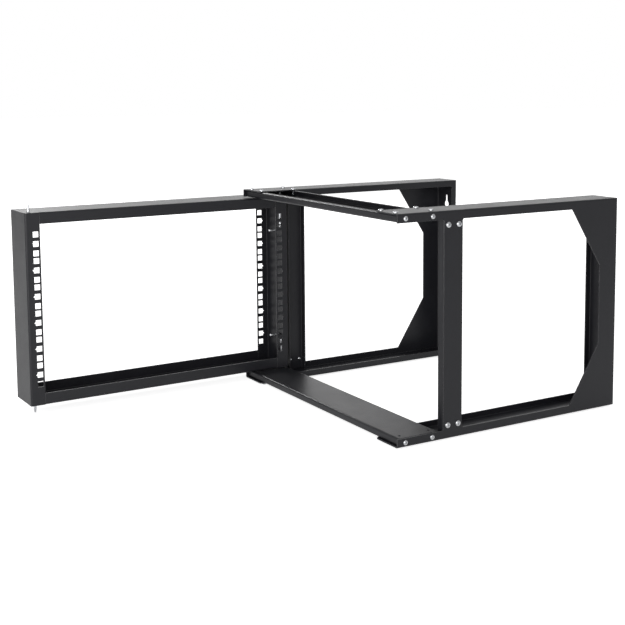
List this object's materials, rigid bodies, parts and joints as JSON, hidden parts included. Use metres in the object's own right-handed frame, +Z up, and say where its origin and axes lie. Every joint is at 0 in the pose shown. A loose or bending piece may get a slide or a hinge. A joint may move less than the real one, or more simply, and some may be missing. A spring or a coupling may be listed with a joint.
{
  "type": "wall mount open frame rack",
  "caption": "Wall mount open frame network rack: folded side frames and cross-members, and a swing gate with square-holed rails on sprung pins.",
  "frame": {"origin": "centre of the wall face, midway between the side frames and between top and bottom", "axes": "+X to the rack's right side, +Y into the wall, +Z up; the rack reaches forward along -Y"},
  "size_m": [0.5678, 0.8742, 0.3642],
  "materials": {
    "black_powder_coat": "matte fine texture",
    "bright_zinc": "bright zinc",
    "black_nylon": "matte moulded",
    "spring_steel": "plain wire"
  },
  "bodies": {
    "frame": {"side_frame_right": "black_powder_coat", "side_frame_left": "black_powder_coat", "front_post_right": "black_powder_coat", "front_post_left": "black_powder_coat", "top_cross_member": "black_powder_coat", "bottom_cross_member": "black_powder_coat", "post_screws_right": "bright_zinc", "post_screws_left": "bright_zinc", "cross_member_screws_right": "bright_zinc", "cross_member_screws_left": "bright_zinc", "top_flange_screws_right": "bright_zinc", "top_flange_screws_left": "bright_zinc", "bottom_flange_screws_right": "bright_zinc", "bottom_flange_screws_left": "bright_zinc", "hinge_washer_bottom": "black_nylon"},
    "gate": {"gate_hinge_upright": "black_powder_coat", "gate_latch_upright": "black_powder_coat", "gate_top_bar": "black_powder_coat", "gate_bottom_bar": "black_powder_coat", "hinge_washer_top": "black_nylon", "pin_bracket_hinge_top": "black_powder_coat", "pin_bracket_hinge_bottom": "black_powder_coat", "pin_spring_hinge_top": "spring_steel", "pin_spring_hinge_bottom": "spring_steel", "pin_bracket_latch_top": "black_powder_coat", "pin_bracket_latch_bottom": "black_powder_coat", "pin_spring_latch_top": "spring_steel", "pin_spring_latch_bottom": "spring_steel"},
    "hinge_pin_top": {"hinge_pin_top": "bright_zinc", "pin_clip_hinge_top": "bright_zinc"},
    "hinge_pin_bottom": {"hinge_pin_bottom": "bright_zinc", "pin_clip_hinge_bottom": "bright_zinc"},
    "latch_pin_top": {"latch_pin_top": "bright_zinc", "pin_clip_latch_top": "bright_zinc"},
    "latch_pin_bottom": {"latch_pin_bottom": "bright_zinc", "pin_clip_latch_bottom": "bright_zinc"}
  },
  "joints": [
    {"name": "gate_swing", "type": "hinge", "parent": "frame", "child": "gate", "pos_m": [-0.2405, -0.3822, 0], "axis": [0, 0, 1], "range_deg": [-21.5, 88.5]},
    {"name": "hinge_pin_top_slide", "type": "slide", "parent": "gate", "child": "hinge_pin_top", "axis": [0, 0, -1], "range_m": [0, 0.015], "stiffness_N_per_m": 300, "springref_m": -0.01, "deforming": ["pin_spring_hinge_top"]},
    {"name": "hinge_pin_bottom_slide", "type": "slide", "parent": "gate", "child": "hinge_pin_bottom", "axis": [0, 0, 1], "range_m": [0, 0.015], "stiffness_N_per_m": 300, "springref_m": -0.01, "deforming": ["pin_spring_hinge_bottom"]},
    {"name": "latch_pin_top_slide", "type": "slide", "parent": "gate", "child": "latch_pin_top", "axis": [0, 0, -1], "range_m": [0, 0.015], "stiffness_N_per_m": 300, "springref_m": -0.01, "deforming": ["pin_spring_latch_top"]},
    {"name": "latch_pin_bottom_slide", "type": "slide", "parent": "gate", "child": "latch_pin_bottom", "axis": [0, 0, 1], "range_m": [0, 0.015], "stiffness_N_per_m": 300, "springref_m": -0.01, "deforming": ["pin_spring_latch_bottom"]}
  ]
}
